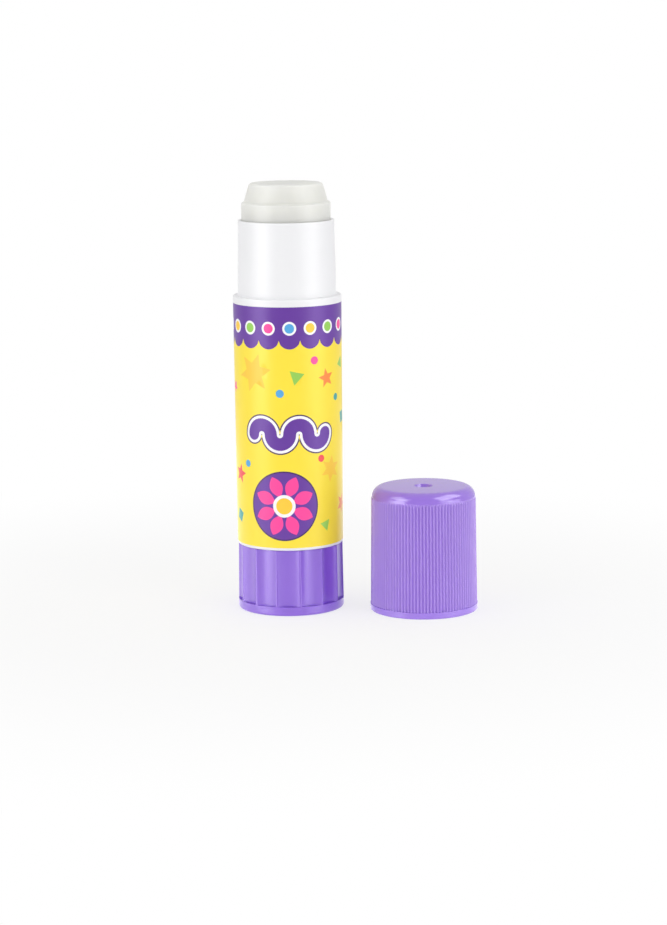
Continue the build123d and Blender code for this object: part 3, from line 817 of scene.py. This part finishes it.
def mixed(tree, share, first, second):
    """Two shaders mixed, with the given share of the second."""
    inputs = {0: share, 1: first.outputs[0], 2: second.outputs[0]}
    return add_node(tree, "ShaderNodeMixShader", inputs)


# The camera sees the floor fade to white away from the object, and glossy surfaces see it white. Light meets
# a matt board with a faint gloss near the object, and open air farther out.
white, board_grey = (1.0, 1.0, 1.0, 1.0), (0.92, 0.92, 0.92, 1.0)
fade_start, fade_end, least_white = 0.05, 0.16, 0.72
board_end, air_start = 0.2, 0.26
floor_material = bpy.data.materials.new("pale_floor")
floor_material.use_nodes = True
floor_tree = floor_material.node_tree
floor_tree.nodes.clear()
floor_place = add_node(floor_tree, "ShaderNodeTexCoord").outputs["Object"]
reach = add_node(floor_tree, "ShaderNodeVectorMath", {0: floor_place}, operation="LENGTH").outputs["Value"]
rays = add_node(floor_tree, "ShaderNodeLightPath").outputs
board = add_node(floor_tree, "ShaderNodeBsdfDiffuse", {"Color": board_grey})
gloss = add_node(floor_tree, "ShaderNodeBsdfGlossy", {"Color": white, "Roughness": 0.2})
fresnel = add_node(floor_tree, "ShaderNodeFresnel", {"IOR": 1.5}).outputs[0]
unseen = math_node(floor_tree, "SUBTRACT", 1.0, rays["Is Camera Ray"])
table = mixed(floor_tree, math_node(floor_tree, "MULTIPLY", fresnel, unseen), board, gloss)
glow = add_node(floor_tree, "ShaderNodeEmission", {"Color": white, "Strength": rays["Is Glossy Ray"]})
table = add_node(floor_tree, "ShaderNodeAddShader", {0: table.outputs[0], 1: glow.outputs[0]})
open_air = add_node(floor_tree, "ShaderNodeBsdfTransparent")
table = mixed(floor_tree, eased(floor_tree, reach, board_end, air_start), table, open_air)
paper = add_node(floor_tree, "ShaderNodeEmission", {"Color": white, "Strength": 1.0})
fade = eased(floor_tree, reach, fade_start, fade_end, least_white)
shown = mixed(floor_tree, math_node(floor_tree, "MULTIPLY", fade, rays["Is Camera Ray"]), table, paper)
add_node(floor_tree, "ShaderNodeOutputMaterial", {"Surface": shown.outputs[0]})
floor_mesh.materials.append(floor_material)

# The room lights surfaces almost evenly. It is white to the camera, and glossy surfaces see it bright behind
# the object and dim on the camera's side, so that the cards there stand out.
world = bpy.data.worlds.new("studio")
bpy.context.scene.world = world
world.use_nodes = True
room_tree = world.node_tree
room_tree.nodes.clear()
room_low, room_high, bright_side, dim_side = 0.9, 0.8, 0.8, 0.22
rays = add_node(room_tree, "ShaderNodeLightPath").outputs
plain_rays = math_node(room_tree, "MAXIMUM", rays["Is Glossy Ray"], rays["Is Transmission Ray"])
plain_rays = math_node(room_tree, "MAXIMUM", rays["Is Camera Ray"], plain_rays)
ray_way = add_node(room_tree, "ShaderNodeTexCoord").outputs["Generated"]
to_camera = (math.cos(front_turn), math.sin(front_turn), 0.0)
facing = add_node(room_tree, "ShaderNodeVectorMath", {0: ray_way, 1: to_camera}, operation="DOT_PRODUCT")
shown = eased(room_tree, facing.outputs["Value"], -0.3, 0.5, bright_side, dim_side)
shown = math_node(room_tree, "MAXIMUM", shown, rays["Is Camera Ray"])
ray_height = add_node(room_tree, "ShaderNodeSeparateXYZ", {0: ray_way}).outputs[2]
levels = {"Value": ray_height, "From Min": 0.1, "From Max": 0.9, "To Min": room_low, "To Max": room_high}
fill = add_node(room_tree, "ShaderNodeMapRange", levels).outputs[0]
above_fill = math_node(room_tree, "SUBTRACT", shown, fill)
strength = math_node(room_tree, "MULTIPLY_ADD", plain_rays, above_fill, fill)
backdrop = add_node(room_tree, "ShaderNodeBackground", {"Color": white, "Strength": strength})
add_node(room_tree, "ShaderNodeOutputWorld", {"Surface": backdrop.outputs[0]})


def softbox(name, azimuth, elevation, distance, width, height, watts, mirrored):
    """A rectangular source at an azimuth from the camera's side of the object, turned to face it. It either
    lights surfaces or, where it is mirrored, is only what glossy surfaces reflect."""
    lamp = bpy.data.lights.new(name, "AREA")
    lamp.shape, lamp.size, lamp.size_y, lamp.energy = "RECTANGLE", width, height, watts
    holder = placed(name, lamp)
    turn, lift = front_turn + math.radians(azimuth), math.radians(elevation)
    target = Vector((0.012, 0.0, 0.045))
    away = Vector((math.cos(turn) * math.cos(lift), math.sin(turn) * math.cos(lift), math.sin(lift)))
    holder.location = target + away * distance
    holder.rotation_euler = away.to_track_quat("Z", "Y").to_euler()
    holder.visible_camera = False
    holder.visible_diffuse = not mirrored
    holder.visible_glossy = mirrored


softbox("softbox_left", -56, 14, 0.8, 0.42, 0.9, 0.9, False)
softbox("softbox_right", 40, 14, 0.8, 0.42, 0.9, 1.2, False)
softbox("card_left", -56, 9, 0.8, 0.42, 1.1, 4.4, True)
softbox("card_right", 52, 9, 0.8, 0.42, 1.1, 3.7, True)
softbox("card_high_left", -84, 43, 0.8, 0.9, 0.38, 3.6, True)
softbox("card_high_right", 77, 50, 0.8, 0.75, 0.45, 4.6, True)
softbox("card_low_left", -66, 0, 0.85, 0.6, 0.7, 3.9, True)
softbox("card_low_right", 70, 0, 0.85, 0.5, 0.7, 3.4, True)

# The camera's place was solved from the rims of the tube, the knob and the cap in the photograph
photo_long_side = 925
focal_pixels = 2722.752
camera_place = Vector((98.17, -584.23, 135.22)) * MM
camera_turn, camera_pitch, camera_roll = math.radians(8.6), math.radians(9.879), math.radians(-0.676)
forward = Vector((
    -math.sin(camera_turn) * math.cos(camera_pitch),
    math.cos(camera_turn) * math.cos(camera_pitch),
    -math.sin(camera_pitch),
))
level_right = Vector((math.cos(camera_turn), math.sin(camera_turn), 0))
level_up = level_right.cross(forward)
right = level_right * math.cos(camera_roll) + level_up * math.sin(camera_roll)
up = level_up * math.cos(camera_roll) - level_right * math.sin(camera_roll)
camera_data = bpy.data.cameras.new("camera")
camera_data.sensor_width = 36.0
camera_data.lens = focal_pixels / photo_long_side * camera_data.sensor_width
camera = placed("camera", camera_data)
camera.matrix_world = Matrix((
    (right.x, up.x, -forward.x, camera_place.x),
    (right.y, up.y, -forward.y, camera_place.y),
    (right.z, up.z, -forward.z, camera_place.z),
    (0, 0, 0, 1),
))
bpy.context.scene.camera = camera
bpy.context.scene.view_settings.view_transform = "Standard"
